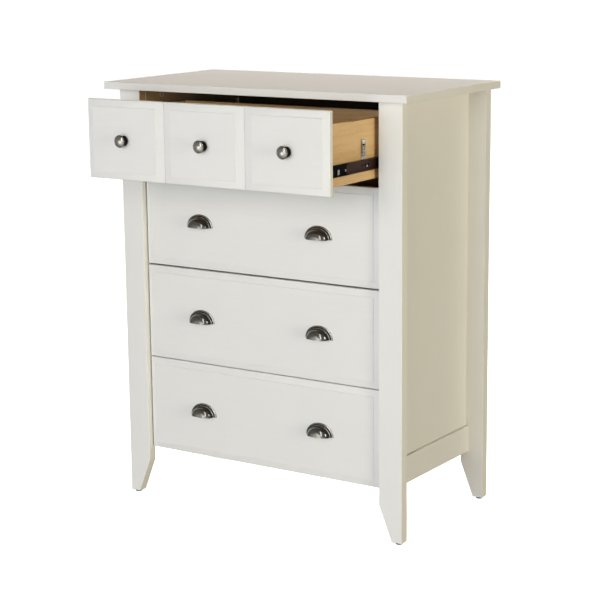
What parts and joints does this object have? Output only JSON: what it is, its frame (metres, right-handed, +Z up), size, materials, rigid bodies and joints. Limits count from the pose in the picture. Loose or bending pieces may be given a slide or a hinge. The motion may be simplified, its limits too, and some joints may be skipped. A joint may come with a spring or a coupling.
{
  "type": "chest of drawers",
  "caption": "White flat-pack chest of drawers on tapered legs, overhanging top board, wide drawers on side slides, round knobs on the top one and cup pulls below.",
  "frame": {"origin": "on the floor, on the centre line, midway in the overall depth with the top drawer pulled out 220.8 mm (the rest pose)", "axes": "+Z up; the drawers open towards -Y; +X to the right as seen from the front"},
  "size_m": [0.89, 0.681, 1.095],
  "materials": {
    "white_finish": "soft white satin paint on fibreboard, faint texture",
    "drawer_board": "light maple-pattern foil on particleboard, satin",
    "hardboard": "thin brown hardboard, matt",
    "satin_nickel": "brushed satin nickel plate",
    "slide_steel": "dark bronze-black electrocoat, semi-gloss",
    "glide_plastic": "dark grey polyethylene"
  },
  "bodies": {
    "carcass": {"back_panel": "hardboard", "cabinet_slide1_left": "slide_steel", "cabinet_slide1_right": "slide_steel", "cabinet_slide2_left": "slide_steel", "cabinet_slide2_right": "slide_steel", "cabinet_slide3_left": "slide_steel", "cabinet_slide3_right": "slide_steel", "cabinet_slide4_left": "slide_steel", "cabinet_slide4_right": "slide_steel", "front_leg_left": "white_finish", "front_leg_right": "white_finish", "front_stretcher": "white_finish", "glide_front_left": "glide_plastic", "glide_front_right": "glide_plastic", "glide_rear_left": "glide_plastic", "glide_rear_right": "glide_plastic", "rear_leg_left": "white_finish", "rear_leg_right": "white_finish", "side_panel_left": "white_finish", "side_panel_right": "white_finish", "side_rail_left": "white_finish", "side_rail_right": "white_finish", "top_panel": "white_finish"},
    "drawer1": {"drawer1_back": "drawer_board", "drawer1_bottom": "hardboard", "drawer1_front": "white_finish", "drawer1_knob_centre": "satin_nickel", "drawer1_knob_left": "satin_nickel", "drawer1_knob_right": "satin_nickel", "drawer1_side_left": "drawer_board", "drawer1_side_right": "drawer_board", "drawer1_slide_left": "slide_steel", "drawer1_slide_right": "slide_steel"},
    "drawer2": {"drawer2_back": "drawer_board", "drawer2_bottom": "hardboard", "drawer2_front": "white_finish", "drawer2_pull_left": "satin_nickel", "drawer2_pull_right": "satin_nickel", "drawer2_side_left": "drawer_board", "drawer2_side_right": "drawer_board", "drawer2_slide_left": "slide_steel", "drawer2_slide_right": "slide_steel"},
    "drawer3": {"drawer3_back": "drawer_board", "drawer3_bottom": "hardboard", "drawer3_front": "white_finish", "drawer3_pull_left": "satin_nickel", "drawer3_pull_right": "satin_nickel", "drawer3_side_left": "drawer_board", "drawer3_side_right": "drawer_board", "drawer3_slide_left": "slide_steel", "drawer3_slide_right": "slide_steel"},
    "drawer4": {"drawer4_back": "drawer_board", "drawer4_bottom": "hardboard", "drawer4_front": "white_finish", "drawer4_pull_left": "satin_nickel", "drawer4_pull_right": "satin_nickel", "drawer4_side_left": "drawer_board", "drawer4_side_right": "drawer_board", "drawer4_slide_left": "slide_steel", "drawer4_slide_right": "slide_steel"}
  },
  "joints": [
    {"name": "drawer1_slide", "type": "slide", "parent": "carcass", "child": "drawer1", "axis": [0, -1, 0], "range_m": [-0.2208, 0.0392]},
    {"name": "drawer2_slide", "type": "slide", "parent": "carcass", "child": "drawer2", "axis": [0, -1, 0], "range_m": [0, 0.26]},
    {"name": "drawer3_slide", "type": "slide", "parent": "carcass", "child": "drawer3", "axis": [0, -1, 0], "range_m": [0, 0.26]},
    {"name": "drawer4_slide", "type": "slide", "parent": "carcass", "child": "drawer4", "axis": [0, -1, 0], "range_m": [0, 0.26]}
  ]
}
